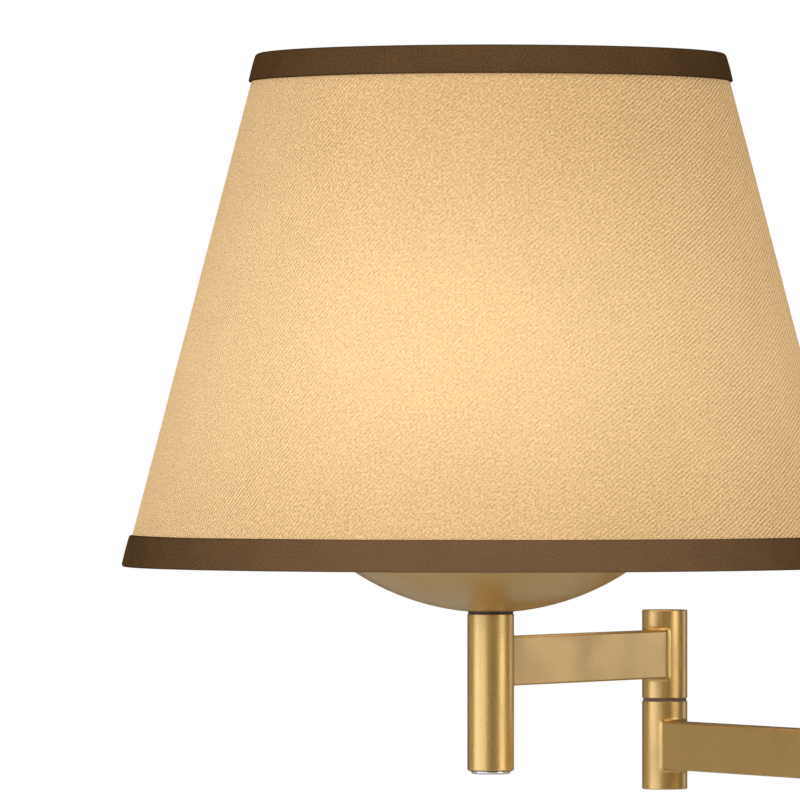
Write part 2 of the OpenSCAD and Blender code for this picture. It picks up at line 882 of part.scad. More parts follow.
module harp() {
    color(brass) at_post() {
        bent_wire(harp_path, harp_wire_r);
        translate([0, 0, harp_top]) cylinder(r = harp_disc_r, h = hub_z - harp_top, $fn = fine);
        translate([0, 0, harp_top])
            cylinder(r = harp_stud_r, h = stud_top - harp_top, $fn = coarse);
    }
}

module socket_cap() {
    r = socket_cap_r;
    t = socket_sheet;
    color(brass) at_post() translate([0, 0, cap_z]) rotate_extrude($fn = fine) polygon([
        [nipple_r + play, 0], [socket_foot_r, 0], [r - 1, 7], [r, 10], [r, socket_cap_h],
        [r - t, socket_cap_h], [r - t, 10], [r - 1 - t, 7.2], [socket_foot_r - t, t + 0.4],
        [nipple_r + play, t + 0.4]
    ]);
}

module socket_base() {
    color(white) at_post() translate([0, 0, puck_z]) difference() {
        cylinder(r = socket_r - 2 * socket_sheet - 0.6, h = puck_h, $fn = fine);
        rotate([0, 0, upper_dir]) translate([-tail_x, 0, -past])
            cylinder(r = 1, h = puck_h / 2, $fn = 24);
    }
}

module socket_screw_shell() {
    color(steel) at_post() translate([0, 0, puck_z + puck_h])
        tube(base_r + 0.7, base_r + 0.3, base_l - 4);
}

module socket_insulator() {
    r = socket_r - socket_sheet - 0.1;
    color([0.25, 0.22, 0.2]) at_post() translate([0, 0, shell_z + 2])
        tube(r, r - socket_sheet, socket_top - shell_z - 4);
}

module socket_shell() {
    color(brass) at_post() {
        translate([0, 0, shell_z])
            tube(socket_r, socket_r - socket_sheet, socket_top - shell_z - socket_sheet);
        translate([0, 0, socket_top - 1])
            rotate_extrude($fn = fine) translate([socket_r, 0]) circle(r = 0.8, $fn = 24);
    }
}

module bulb_base() {
    tip_r = 4.5;
    color(steel) at_post() translate([0, 0, contact_z]) rotate_extrude($fn = fine) {
        polygon([
            [0, 0], [tip_r, 0], [tip_r, 1], [base_r - 1, 4], [base_r, 5], [base_r, base_l],
            [base_r - base_sheet, base_l], [base_r - base_sheet, 5.4],
            [base_r - 1.5, 4.6], [tip_r, 1.8], [0, 1.8]
        ]);
    }
}

// Half width of the bulb at the share t of the way from its base to its widest level
function bulb_r(t) = base_r - base_sheet + (globe_r - base_r + base_sheet) * ease(t);

module bulb_outline(inset) {
    steps = 16;
    neck = [for (i = [0:steps])
        [bulb_r(i / steps) - inset, glass_z + (globe_z - glass_z) * i / steps]];
    polygon(concat([[0, glass_z]], neck, [[0, globe_z]]));
    intersection() {
        translate([0, globe_z]) circle(r = globe_r - inset, $fn = 96);
        translate([0, globe_z - 0.01]) square([globe_r, globe_r]);
    }
}

module bulb_glass() {
    color(white) at_post() rotate_extrude($fn = fine) difference() {
        bulb_outline(0);
        bulb_outline(glass_t);
        translate([0, glass_z - past]) square([base_r - base_sheet - glass_t, 2 * past]);
    }
}

// Shade

// Band of cloth or liner between two heights, from the offsets near to far of the linen's face
module shade_band(z0, z1, near, far) {
    rotate_extrude($fn = 144) polygon([
        [shade_r(z0) + near, z0], [shade_r(z0) + far, z0],
        [shade_r(z1) + far, z1], [shade_r(z1) + near, z1]
    ]);
}

module shade_liner() {
    color(white) at_post()
        shade_band(shade_bottom + cover_t, shade_top - cover_t, -skin_t, -linen_t);
}

module shade_linen() {
    color(linen) at_post()
        shade_band(shade_bottom + cover_t, shade_top - cover_t, -linen_t, 0);
}

module wire_ring(z) {
    rotate_extrude($fn = 144) translate([ring_radius(z), z]) circle(r = ring_r, $fn = 24);
}

module shade_top_ring() {
    color(steel) at_post() wire_ring(ring_top_z);
}

module shade_bottom_ring() {
    color(steel) at_post() wire_ring(ring_bottom_z);
}

// Trim from the rim at height z, folded over it. way is -1 where the trim runs down from the rim
// and 1 where it runs up.
module trim_band(z, way, height) {
    zc = z + way * cover_t;
    zf = z + way * trim_fold_h;
    zb = z + way * height;
    rotate_extrude($fn = 144) polygon([
        [shade_r(zb), zb], [shade_r(zb) + trim_proud, zb],
        [shade_r(zc) + trim_proud, zc], [shade_r(z) + trim_proud - cover_t, z],
        [shade_r(z) - fold_in, z], [shade_r(zc) - fold_in - fold_t, zc],
        [shade_r(zf) - fold_in - fold_t, zf], [shade_r(zf) - fold_in, zf],
        [shade_r(zc) - fold_in, zc], [shade_r(zc), zc]
    ]);
}

spoke_dirs = [90, 210, 330];

module trim_top() {
    color(brown) at_post() difference() {
        trim_band(shade_top, -1, trim_top_h);
        for (a = spoke_dirs)
            rotate([0, 0, a]) translate([spoke_x, 0, shade_top - cover_t - trim_fold_h])
                cylinder(r = spoke_r + ring_clear, h = trim_fold_h, $fn = coarse);
    }
}

module trim_bottom() {
    color(brown) at_post() trim_band(shade_bottom, 1, trim_bottom_h);
}

module spider() {
    level = hub_z + hub_t / 2;
    color(brass) at_post() {
        translate([0, 0, hub_z]) tube(hub_r, harp_stud_r + 0.3, hub_t);
        for (a = spoke_dirs) rotate([0, 0, a]) {
            lead_along(hub_r - 1, spoke_x - spoke_bend, level, spoke_r);
            lead_turn(spoke_x - spoke_bend, level + spoke_bend, -90, spoke_bend, spoke_r);
            lead_up(spoke_x, level + spoke_bend, ring_top_z, spoke_r);
        }
    }
}

module finial() {
    foot_r = 7;
    neck_r = 4;
    ball_r = 5.5;
    ball_z = 8.5;
    color(brass) at_post() translate([0, 0, hub_z + hub_t]) difference() {
        rotate_extrude($fn = fine) right_half(4 * foot_r) union() {
            translate([-foot_r, 0]) square([2 * foot_r, 2]);
            translate([-neck_r, 0]) square([2 * neck_r, ball_z]);
            translate([0, ball_z]) circle(r = ball_r, $fn = coarse);
        }
        translate([0, 0, -past])
            cylinder(r = harp_stud_r, h = stud_top - hub_z - hub_t + past, $fn = coarse);
    }
}

wall_plate();
mounting_strap();
strap_studs();
cap_nuts();
ground_screw();
bracket_flange();
bracket_nipple();
bracket_locknut();
bracket_bar();
bracket_knuckle();
bracket_cap();
wall_pivot_tube();
wall_pivot_nut();
wall_spring_washer();
wall_friction_washer();
wall_stop_pin();
bracket_lead();
wire_connectors();
lower_arm_bar();
lower_arm_wall_knuckle();
lower_arm_elbow_knuckle();
lower_arm_caps();
elbow_pivot_tube();
elbow_pivot_nut();
elbow_spring_washer();
elbow_friction_washer();
elbow_stop_pin();
lower_arm_lead();
upper_arm_bar();
upper_arm_knuckle();
upper_arm_cap();
upper_arm_lead();
post();
post_nipple();
bowl_washer();
bowl();
bowl_nut();
harp_saddle();
harp_ferrules();
harp();
socket_cap();
socket_base();
socket_screw_shell();
socket_insulator();
socket_shell();
socket_lead();
bulb_base();
bulb_glass();
shade_liner();
shade_linen();
shade_top_ring();
shade_bottom_ring();
trim_top();
trim_bottom();
spider();
finial();
switch_body();
switch_sleeve();
switch_button();
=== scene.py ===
"""Looks of the swing arm wall sconce: linen, woven trim, satin brass, bulb light and studio.

Every length is in metres in the CAD's frame: the wall is Y = 0, the lamp stands out towards -Y.
"""

import json
import math

import bmesh
import bpy
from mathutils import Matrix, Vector, noise


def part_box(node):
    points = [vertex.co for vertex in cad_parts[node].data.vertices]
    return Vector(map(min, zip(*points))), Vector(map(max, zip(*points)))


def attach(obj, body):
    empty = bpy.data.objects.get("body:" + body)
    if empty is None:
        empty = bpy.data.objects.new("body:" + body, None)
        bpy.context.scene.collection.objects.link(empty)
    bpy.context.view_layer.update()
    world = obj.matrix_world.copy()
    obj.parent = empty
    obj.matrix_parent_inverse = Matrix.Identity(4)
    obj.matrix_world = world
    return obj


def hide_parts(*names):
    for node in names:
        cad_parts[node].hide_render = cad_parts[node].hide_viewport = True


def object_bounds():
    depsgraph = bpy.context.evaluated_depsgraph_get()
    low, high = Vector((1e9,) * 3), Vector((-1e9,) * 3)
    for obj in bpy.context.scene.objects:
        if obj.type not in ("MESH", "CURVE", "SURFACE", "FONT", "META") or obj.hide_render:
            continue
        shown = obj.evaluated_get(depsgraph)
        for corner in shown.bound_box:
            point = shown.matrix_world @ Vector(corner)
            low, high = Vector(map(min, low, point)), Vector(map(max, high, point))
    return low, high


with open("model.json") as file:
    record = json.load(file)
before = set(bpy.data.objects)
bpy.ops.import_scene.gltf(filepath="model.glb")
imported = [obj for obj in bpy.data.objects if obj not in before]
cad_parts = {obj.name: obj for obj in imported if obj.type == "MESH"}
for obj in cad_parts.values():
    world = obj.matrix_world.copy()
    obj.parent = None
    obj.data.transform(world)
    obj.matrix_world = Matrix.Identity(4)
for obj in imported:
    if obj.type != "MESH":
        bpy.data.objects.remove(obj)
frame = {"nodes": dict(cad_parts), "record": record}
cad_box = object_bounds()
TAU = 2 * math.pi
HALF_TURN = math.pi


# ---------------------------------------------------------------- places taken from the frame

def centre(node):
    low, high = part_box(node)
    return Vector([(a + b) / 2 for a, b in zip(low, high)])


POST = centre("post")
ELBOW_TOP = centre("upper_arm_knuckle")
ELBOW_LOW = centre("lower_arm_elbow_knuckle")
WALL_TOP = centre("lower_arm_wall_knuckle")
WALL_LOW = centre("bracket_knuckle")
BULB = centre("bulb_glass")
SHADE_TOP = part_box("trim_top")[1][2]
SHADE_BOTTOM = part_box("trim_bottom")[0][2]
TRIM_TOP_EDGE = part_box("trim_top")[0][2]
TRIM_BOTTOM_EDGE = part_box("trim_bottom")[1][2]
FLOOR_DROP = 0.30
FLOOR_Z = cad_box[0][2] - FLOOR_DROP

# Shade, as in the CAD: radii of the linen's outside at the two rims, thickness of the linen, of
# linen and backing, and of the trim over a rim, how far the trim stands out, and the room inside
# that the wire rings take
LINEN_TOP_R = 0.0953
LINEN_BOTTOM_R = 0.1505
LINEN_T = 0.0008
SKIN_T = 0.0016
COVER_T = 0.0009
TRIM_PROUD = 0.0013
RING_ROOM = 0.0036

# The trim's soft middle, and its folded end behind the wire ring
TRIM_SWELL = 0.00012
FOLD_T = 0.0008
FOLD_H = 0.009

# The shade's cone
SLOPE = (LINEN_BOTTOM_R - LINEN_TOP_R) / (SHADE_TOP - SHADE_BOTTOM)
SIN_CONE = SLOPE / math.hypot(1, SLOPE)
COS_CONE = 1 / math.hypot(1, SLOPE)

# Weave, on the flat cloth: how far apart the linen's ribs and the beads along them lie, how
# much both lean and how far a rib strays, and the trim's threads round the shade and down it
RIB_PITCH = 0.0023
RIB_LEAN = 1.1
RIB_SWAY = 0.0016
BEAD_PITCH = 0.53 * RIB_PITCH
BEAD_LEAN = 0.35
TRIM_WARP = 0.0009
TRIM_WEFT = 0.0007

# The painted bulb light on the shade: how far to the side the middle of its painted hot spot lies
# on the linen and on the trim, how far above the bulb's centre, and how far it reaches up and down
PAINTED_GLOW_SHIFT = 0.018
TRIM_GLOW_SHIFT = 0.004
GLOW_RISE = 0.006
GLOW_H = 0.115

# Arms, as in the CAD: radius of the post and knuckles, and the bars' section
ROD_R = 0.0096
BAR_H = 0.0202
BAR_T = 0.012
BAR_EDGE = 0.0008


def linen_r(z):
    """Outside radius of the linen at height z."""
    return LINEN_TOP_R + (SHADE_TOP - z) * SLOPE


# ---------------------------------------------------------------- camera

def camera():
    """Level, from the lamp's side, at the distance that gives the photograph's perspective."""
    distance = 3.658
    left_of_post = 0.03726
    eye_height = 0.1782
    view_width = 0.3287
    data = bpy.data.cameras.new("camera")
    data.sensor_width = 36
    data.lens = data.sensor_width * distance / view_width
    data.shift_y = 0.0196
    data.clip_end = 100
    eye = bpy.data.objects.new("camera", data)
    eye.location = (POST.x + distance, POST.y - left_of_post, eye_height)
    eye.rotation_euler = (math.radians(90), 0, math.radians(90))
    bpy.context.scene.collection.objects.link(eye)
    bpy.context.scene.camera = eye


camera()


# ---------------------------------------------------------------- material nodes

class Nodes:
    """A short way to write a node tree: a method that adds a node returns its output."""

    def __init__(self, name):
        self.material = bpy.data.materials.new(name)
        self.material.use_nodes = True
        self.tree = self.material.node_tree
        self.tree.nodes.clear()
        out = self.tree.nodes.new("ShaderNodeOutputMaterial")
        self.bsdf = self.tree.nodes.new("ShaderNodeBsdfPrincipled")
        self.tree.links.new(self.bsdf.outputs[0], out.inputs["Surface"])
        self.place = self.add("ShaderNodeTexCoord", "Object")

    def put(self, socket, value):
        """Gives a socket a constant, or links another node's output to it."""
        if isinstance(value, bpy.types.NodeSocket):
            self.tree.links.new(value, socket)
        else:
            socket.default_value = value

    def set(self, **values):
        """Values for the shader's own sockets, with _ for a space in a name."""
        for name, value in values.items():
            if isinstance(value, tuple):
                value = (*value, 1.0)
            self.put(self.bsdf.inputs[name.replace("_", " ")], value)

    def add(self, kind, output):
        """One output of a new node that needs no input."""
        return self.tree.nodes.new(kind).outputs[output]

    def math(self, operation, a, b=0.0):
        node = self.tree.nodes.new("ShaderNodeMath")
        node.operation = operation
        for socket, value in zip(node.inputs, (a, b)):
            self.put(socket, value)
        return node.outputs[0]

    def noise(self, vector, scale, detail, rough=0.5):
        node = self.tree.nodes.new("ShaderNodeTexNoise")
        self.put(node.inputs["Vector"], vector)
        node.inputs["Scale"].default_value = scale
        node.inputs["Detail"].default_value = detail
        node.inputs["Roughness"].default_value = rough
        return node.outputs[0]

    def stretch(self, vector, scale):
        node = self.tree.nodes.new("ShaderNodeMapping")
        self.put(node.inputs["Vector"], vector)
        node.inputs["Scale"].default_value = scale
        return node.outputs[0]

    def range(self, value, low, high, to_low=0.0, to_high=1.0, smooth=True):
        node = self.tree.nodes.new("ShaderNodeMapRange")
        node.interpolation_type = "SMOOTHSTEP" if smooth else "LINEAR"
        for socket, v in zip(node.inputs, (value, low, high, to_low, to_high)):
            self.put(socket, v)
        return node.outputs[0]

    def mix(self, share, a, b, how="MIX"):
        """Two colours mixed; the node's inputs 6 and 7 are its colours."""
        node = self.tree.nodes.new("ShaderNodeMix")
        node.data_type = "RGBA"
        node.blend_type = how
        self.put(node.inputs[0], share)
        for socket, value in ((node.inputs[6], a), (node.inputs[7], b)):
            if isinstance(value, tuple):
                value = (*value, 1.0)
            self.put(socket, value)
        return node.outputs[2]

    def vector(self, x, y):
        node = self.tree.nodes.new("ShaderNodeCombineXYZ")
        for socket, value in zip(node.inputs, (x, y)):
            self.put(socket, value)
        return node.outputs[0]

    def split(self, vector):
        node = self.tree.nodes.new("ShaderNodeSeparateXYZ")
        self.put(node.inputs[0], vector)
        return node.outputs

    def bump(self, height, distance, strength):
        node = self.tree.nodes.new("ShaderNodeBump")
        node.inputs["Strength"].default_value = strength
        node.inputs["Distance"].default_value = distance
        self.put(node.inputs["Height"], height)
        self.put(self.bsdf.inputs["Normal"], node.outputs[0])


def shade(colour, k):
    """A colour made lighter or darker by a factor."""
    return tuple(c * k for c in colour)


# ---------------------------------------------------------------- materials

def brass(name, colour, rough, grain=1.0):
    """Satin brass under a thin lacquer, with a fine blasted grain and duller clouds."""
    n = Nodes(name)
    fine = n.noise(n.place, 1900, 3.0, 0.75)
    cloud = n.noise(n.place, 38, 3.0)
    tone = n.mix(n.range(fine, 0.32, 0.68), shade(colour, 0.84), shade(colour, 1.12))
    tone = n.mix(n.range(cloud, 0.4, 0.75, 0.0, 0.4), tone, shade(colour, 0.84))
    n.set(Base_Color=tone, Metallic=1.0)
    n.set(Roughness=n.math("ADD", n.range(cloud, 0.3, 0.7, rough - 0.04, rough + 0.06),
                           n.range(fine, 0.3, 0.7, -0.05, 0.05)))
    n.set(Coat_Weight=0.5, Coat_Roughness=0.22)
    n.bump(fine, 0.00010 * grain, 0.35)
    return n.material


def flat_cloth(n):
    """The shade's skin laid flat, as (across, along) in metres, so that a weave runs straight on
    the cloth and fans round the cone as cut cloth does."""
    x, y, z = n.split(n.place)
    x = n.math("SUBTRACT", x, POST.x)
    y = n.math("SUBTRACT", y, POST.y)
    turn = n.math("MULTIPLY", n.math("ARCTAN2", y, x), SIN_CONE)
    apex = SHADE_TOP + LINEN_TOP_R / SLOPE
    reach = n.math("MULTIPLY", n.math("SUBTRACT", apex, z), 1 / COS_CONE)
    across = n.math("MULTIPLY", reach, n.math("SINE", turn))
    along = n.math("MULTIPLY", reach, n.math("COSINE", turn))
    return across, along, x, y, z


def from_painted_glow(n, x, y, shift):
    """Angle round the shade from the middle of the painted glow, 0 to half a turn either way."""
    return n.math("ABSOLUTE", n.math("ARCTAN2", n.math("ADD", y, shift), x))


def linen_material():
    """Natural linen twill with the light from inside painted on as a glow: fine ribs, beaded and
    uneven, with faint slubs.
    """
    n = Nodes("linen_twill")
    across, along, x, y, z = flat_cloth(n)
    cloth = n.vector(across, along)
    side = from_painted_glow(n, x, y, PAINTED_GLOW_SHIFT)
    # Painted shading: the ribs' colour contrast is faint round the middle of the painted glow,
    # where the bulb's light would even them out, and full at the shade's sides, where side light
    # would rake them
    painted_rib_contrast = n.math("MINIMUM", n.range(side, 0.1, 1.1, 0.34, 1.25),
                   n.range(side, 2.0, HALF_TURN, 1.25, 0.34))
    sway = n.math("MULTIPLY", n.math("SUBTRACT", n.noise(cloth, 160, 2.0), 0.5), RIB_SWAY)
    diagonal = n.math("ADD", n.math("ADD", across, n.math("MULTIPLY", along, RIB_LEAN)), sway)
    ribs = n.math("SINE", n.math("MULTIPLY", diagonal, TAU / RIB_PITCH))
    row = n.math("SUBTRACT", along, n.math("MULTIPLY", across, BEAD_LEAN))
    beads = n.math("SINE", n.math("MULTIPLY", row, TAU / BEAD_PITCH))
    fade = n.range(n.noise(cloth, 70, 2.0), 0.35, 0.65, 0.85, 1.0)
    beaded = n.math("MULTIPLY", n.math("MULTIPLY", ribs, beads), 0.50)
    twill = n.math("MULTIPLY", fade, n.math("ADD", n.math("MULTIPLY", ribs, 0.62), beaded))
    fuzz = n.noise(cloth, 950, 2.0, 0.7)
    slub = n.noise(n.stretch(cloth, (110, 900, 1)), 1.0, 3.0, 0.55)
    slub_up = n.noise(n.stretch(cloth, (900, 110, 1)), 1.0, 3.0, 0.55)
    streak = n.math("ADD", n.range(slub, 0.35, 0.7, -0.5, 0.5),
                    n.range(slub_up, 0.35, 0.7, -0.5, 0.5))
    cloud = n.noise(cloth, 26, 2.0)
    woven = n.math("ADD", n.math("MULTIPLY", twill, painted_rib_contrast), n.range(fuzz, 0.32, 0.68, -0.6, 0.6))
    uneven = n.math("ADD", n.math("MULTIPLY", streak, 0.16), n.range(cloud, 0.3, 0.7, -0.05, 0.05))
    level = n.math("ADD", woven, uneven)
    light = n.range(level, -1.6, 1.6, 0.0, 1.0, smooth=False)
    shadow, thread = (0.25, 0.131, 0.042), (0.96, 0.65, 0.310)
    n.set(Base_Color=n.mix(light, shadow, thread))
    n.set(Roughness=0.85, Specular_IOR_Level=0.12, Sheen_Weight=0.08, Sheen_Roughness=0.5)
    # Painted bulb light, an emission: strongest at the bulb's level, with a painted hot spot on
    # the +X side and a weaker one on the -X side
    lobe = n.math("MAXIMUM", n.range(side, 0.0, 1.45, 1.0, 0.0),
                  n.range(side, 1.8, HALF_TURN, 0.0, 0.85))
    up = n.math("ABSOLUTE", n.math("SUBTRACT", z, BULB.z + GLOW_RISE))
    belt = n.range(up, 0.0, GLOW_H, 1.0, 0.0)
    all_round = 0.32
    painted_glow = n.math("ADD", n.math("MULTIPLY", belt, all_round),
                  n.math("MULTIPLY", n.math("MULTIPLY", lobe, belt), 1 - all_round))
    dim, bright = (0.54, 0.35, 0.170), (0.92, 0.665, 0.365)
    warm = n.mix(painted_glow, dim, bright)
    # The painted bulb light evens out the weave where it is strong
    even = n.mix(painted_glow, (0.50, 0.50, 0.50), (0.82, 0.82, 0.82))
    crisp = n.mix(light, even, (1.25, 1.25, 1.25))
    n.set(Emission_Color=n.mix(1.0, warm, crisp, "MULTIPLY"))
    n.set(Emission_Strength=0.50)
    n.bump(level, 0.00035, 0.8)
    return n.material


def trim_material():
    """Closely woven brown band with a faint cross rib, with painted bulb light on it as a weak
    glow.
    """
    n = Nodes("woven_trim")
    across, along, x, y, z = flat_cloth(n)
    cloth = n.vector(across, along)
    rib = n.math("SINE", n.math("MULTIPLY", across, TAU / TRIM_WARP))
    cross = n.math("SINE", n.math("MULTIPLY", along, TAU / TRIM_WEFT))
    weave = n.math("ADD", n.math("MULTIPLY", rib, 0.20),
                   n.math("MULTIPLY", n.math("MULTIPLY", rib, cross), 0.25))
    fuzz = n.noise(cloth, 1150, 3.0, 0.7)
    weave = n.math("ADD", weave, n.range(fuzz, 0.3, 0.7, -0.8, 0.8))
    cloud = n.noise(cloth, 60, 2.0)
    light = n.math("ADD", n.range(weave, -0.9, 0.9, 0.0, 0.8),
                   n.range(cloud, 0.3, 0.7, 0.0, 0.2))
    # Darker along the folded and the glued edge
    near = 1.0
    for edge in (SHADE_BOTTOM, TRIM_BOTTOM_EDGE, TRIM_TOP_EDGE, SHADE_TOP):
        near = n.math("MINIMUM", near, n.math("ABSOLUTE", n.math("SUBTRACT", z, edge)))
    light = n.math("MULTIPLY", light, n.range(near, 0.0002, 0.0009, 0.15, 1.0))
    dark, brown = (0.036, 0.0155, 0.0038), (0.104, 0.053, 0.0165)
    n.set(Base_Color=n.mix(light, dark, brown))
    n.set(Roughness=0.85, Specular_IOR_Level=0.05)
    # Painted bulb light: an emission with a painted hot spot on the +X side and a weaker one on
    # the -X side
    side = from_painted_glow(n, x, y, TRIM_GLOW_SHIFT)
    lobe = n.math("MAXIMUM", n.range(side, 0.1, 1.5, 1.0, 0.0),
                  n.range(side, 1.8, HALF_TURN, 0.0, 0.8))
    # The lower band gets more of the painted light
    painted_glow = n.math("MULTIPLY", lobe, n.range(z, SHADE_BOTTOM, SHADE_TOP, 1.0, 0.4))
    n.set(Emission_Color=n.mix(painted_glow, (0.0, 0.0, 0.0), (1.0, 0.60, 0.33)))
    n.set(Emission_Strength=0.11)
    n.bump(weave, 0.00018, 0.5)
    return n.material


def liner_material():
    """The white backing, with the bulb's light on it painted as a glow."""
    n = Nodes("lit_backing")
    z = n.split(n.place)[2]
    mottle = n.noise(n.place, 120, 3.0)
    tone = n.mix(n.range(mottle, 0.3, 0.7), (0.80, 0.72, 0.58), (0.90, 0.83, 0.70))
    n.set(Base_Color=tone, Roughness=n.range(mottle, 0.3, 0.7, 0.55, 0.68))
    # Painted bulb light: an emission strongest at the bulb's level
    up = n.math("ABSOLUTE", n.math("SUBTRACT", z, BULB.z))
    painted_glow = n.range(up, 0.0, 0.12, 1.0, 0.35)
    n.set(Emission_Color=n.mix(painted_glow, (0.0, 0.0, 0.0), (1.0, 0.80, 0.52)), Emission_Strength=0.5)
    n.bump(mottle, 0.0001, 0.3)
    return n.material


def bulb_material():
    """Frosted glass, evenly bright and dimmer towards its neck."""
    n = Nodes("frosted_bulb")
    z = n.split(n.place)[2]
    frost = n.noise(n.place, 1500, 2.0)
    n.set(Base_Color=n.mix(frost, (0.90, 0.88, 0.82), (0.97, 0.95, 0.90)))
    n.set(Roughness=n.range(frost, 0.3, 0.7, 0.35, 0.5))
    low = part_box("bulb_glass")[0][2]
    n.set(Emission_Color=n.mix(n.range(z, low, low + 0.03), (0.6, 0.4, 0.2), (1.0, 0.79, 0.47)))
    n.set(Emission_Strength=2.5)
    return n.material


def metal(name, colour, rough):
    """Plated steel with fine turning marks and faint clouding."""
    n = Nodes(name)
    lines = n.noise(n.stretch(n.place, (400, 400, 2400)), 1.0, 3.0, 0.6)
    cloud = n.noise(n.place, 90, 2.0)
    tone = n.mix(n.range(lines, 0.3, 0.7), shade(colour, 0.85), shade(colour, 1.08))
    n.set(Base_Color=n.mix(n.range(cloud, 0.4, 0.8, 0.0, 0.3), tone, shade(colour, 0.75)))
    n.set(Metallic=1.0, Roughness=n.range(lines, 0.3, 0.7, rough - 0.06, rough + 0.08))
    n.bump(lines, 0.00005, 0.3)
    return n.material


def moulded(name, colour, rough, grain=700, height=0.00008):
    """Moulded or coated matter with a fine grain."""
    n = Nodes(name)
    fine = n.noise(n.place, grain, 3.0, 0.6)
    cloud = n.noise(n.place, 70, 2.0)
    tone = n.mix(n.range(fine, 0.3, 0.7), shade(colour, 0.80), shade(colour, 1.15))
    n.set(Base_Color=n.mix(n.range(cloud, 0.4, 0.8, 0.0, 0.25), tone, shade(colour, 0.7)))
    n.set(Roughness=n.range(fine, 0.3, 0.7, rough - 0.05, rough + 0.07))
    n.bump(fine, height, 0.4)
    return n.material


BRASS = (0.61, 0.405, 0.141)
MATERIALS = {
    "satin_brass": brass("satin_brass", BRASS, 0.39),
    "brass_fittings": brass("brass_fittings", (0.65, 0.45, 0.19), 0.34, 0.6),
    "zinc_steel": metal("zinc_steel", (0.60, 0.60, 0.62), 0.35),
    "screw_shell": metal("screw_shell", (0.74, 0.74, 0.75), 0.25),
    "green_screw": moulded("green_screw", (0.05, 0.22, 0.08), 0.4),
    "fibre_washer": moulded("fibre_washer", (0.13, 0.10, 0.085), 0.7, 1500),
    "black_lead": moulded("black_lead", (0.015, 0.015, 0.015), 0.5),
    "orange_plastic": moulded("orange_plastic", (0.62, 0.16, 0.02), 0.35),
    "black_plastic": moulded("black_plastic", (0.012, 0.011, 0.010), 0.55),
    "porcelain": moulded("porcelain", (0.80, 0.78, 0.72), 0.25, 300, 0.00004),
    "frosted_glass": bulb_material(),
    "shade_backing": liner_material(),
    "linen": linen_material(),
    "brown_trim": trim_material(),
    "nickel_button": metal("nickel_button", (0.78, 0.75, 0.72), 0.28),
}

for part in frame["record"]["subparts"]:
    thing = frame["nodes"][part["node"]]
    thing.data.materials.clear()
    thing.data.materials.append(MATERIALS[part["material_slot"]])


# ---------------------------------------------------------------- mesh helpers

def mesh_piece(name, points, faces, slot, body):
    """A new smooth piece with one material, which rides on a CAD body."""
    mesh = bpy.data.meshes.new(name)
    mesh.from_pydata([tuple(p) for p in points], [], faces)
    b = bmesh.new()
    b.from_mesh(mesh)
    bmesh.ops.recalc_face_normals(b, faces=b.faces)
    b.to_mesh(mesh)
    b.free()
    mesh.polygons.foreach_set("use_smooth", [True] * len(mesh.polygons))
    mesh.materials.append(MATERIALS[slot])
    piece = bpy.data.objects.new(name, mesh)
    bpy.context.scene.collection.objects.link(piece)
    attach(piece, body)
    return piece


def loop_faces(rows, columns):
    """Quads over a grid of points that closes on itself both ways, row after row."""
    faces = []
    for i in range(rows):
        a, b = i * columns, (i + 1) % rows * columns
        for j in range(columns):
            k = (j + 1) % columns
            faces.append((a + j, a + k, b + k, b + j))
    return faces


# ---------------------------------------------------------------- the shade

# Points round the shade
TURNS = 288


def linen_piece():
    """The linen: a thin double skin pulled tight, lapped on the side away from the camera.

    Returns the piece, the size of the blank that it is cut from and its area.
    """
    low, high = SHADE_BOTTOM + COVER_T, SHADE_TOP - COVER_T
    rows = 26
    # The lap, a strip of double cloth: its middle, half width and slope in radians round the
    # shade, and its thickness
    lap_at, lap_half, lap_edge, lap_t = HALF_TURN, 0.045, 0.012, 0.0003
    ripple = 0.00012
    points = []
    for i in range(TURNS):
        a = TAU * i / TURNS
        off = abs(a - lap_at)
        lap = lap_t * max(0.0, min(1.0, (lap_half - off) / lap_edge))
        for k in range(2 * rows):
            outside = k < rows
            t = k / (rows - 1) if outside else (2 * rows - 1 - k) / (rows - 1)
            z = low + (high - low) * t
            pull = ripple * noise.noise(Vector((6 * math.cos(a), 6 * math.sin(a), 9 * t)))
            r = linen_r(z) + (lap + pull if outside else -LINEN_T)
            points.append((POST.x + r * math.cos(a), POST.y + r * math.sin(a), z))
    piece = mesh_piece("shade_cloth", points, loop_faces(TURNS, 2 * rows), "linen", "upper_arm")
    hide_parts("shade_linen")
    slant = (high - low) / COS_CONE
    apex_r = linen_r(low) / SIN_CONE
    half = math.pi * SIN_CONE
    flat = (2 * apex_r * math.sin(half), apex_r - (apex_r - slant) * math.cos(half))
    area = math.pi * (linen_r(low) + linen_r(high)) * slant
    return piece, flat, area


def trim_profile(rim, way, edge):
    """The folded band's outline as (offset from the linen's face, height), with round outer
    edges. way is 1 where the band stands on its rim and -1 where it hangs from it."""
    t = TRIM_PROUD
    body = edge - way * 0.0006
    inside = -SKIN_T - RING_ROOM
    out = [(0.0, edge), (0.45 * t, edge), (0.85 * t, edge - way * 0.0003), (t, body)]
    steps = 5
    for i in range(1, steps):
        z = body + (rim + way * t - body) * i / steps
        out.append((t + TRIM_SWELL * math.sin(math.pi * i / steps), z))
    turns = 6
    for i in range(turns + 1):
        a = math.radians(90 * i / turns)
        out.append((t * math.cos(a), rim + way * t * (1 - math.sin(a))))
    out += [(0.5 * inside, rim), (inside - 0.3 * FOLD_T, rim + way * 0.0002),
            (inside - FOLD_T, rim + way * COVER_T), (inside - FOLD_T, rim + way * FOLD_H),
            (inside, rim + way * FOLD_H), (inside, rim + way * COVER_T),
            (0.0, rim + way * COVER_T)]
    return out


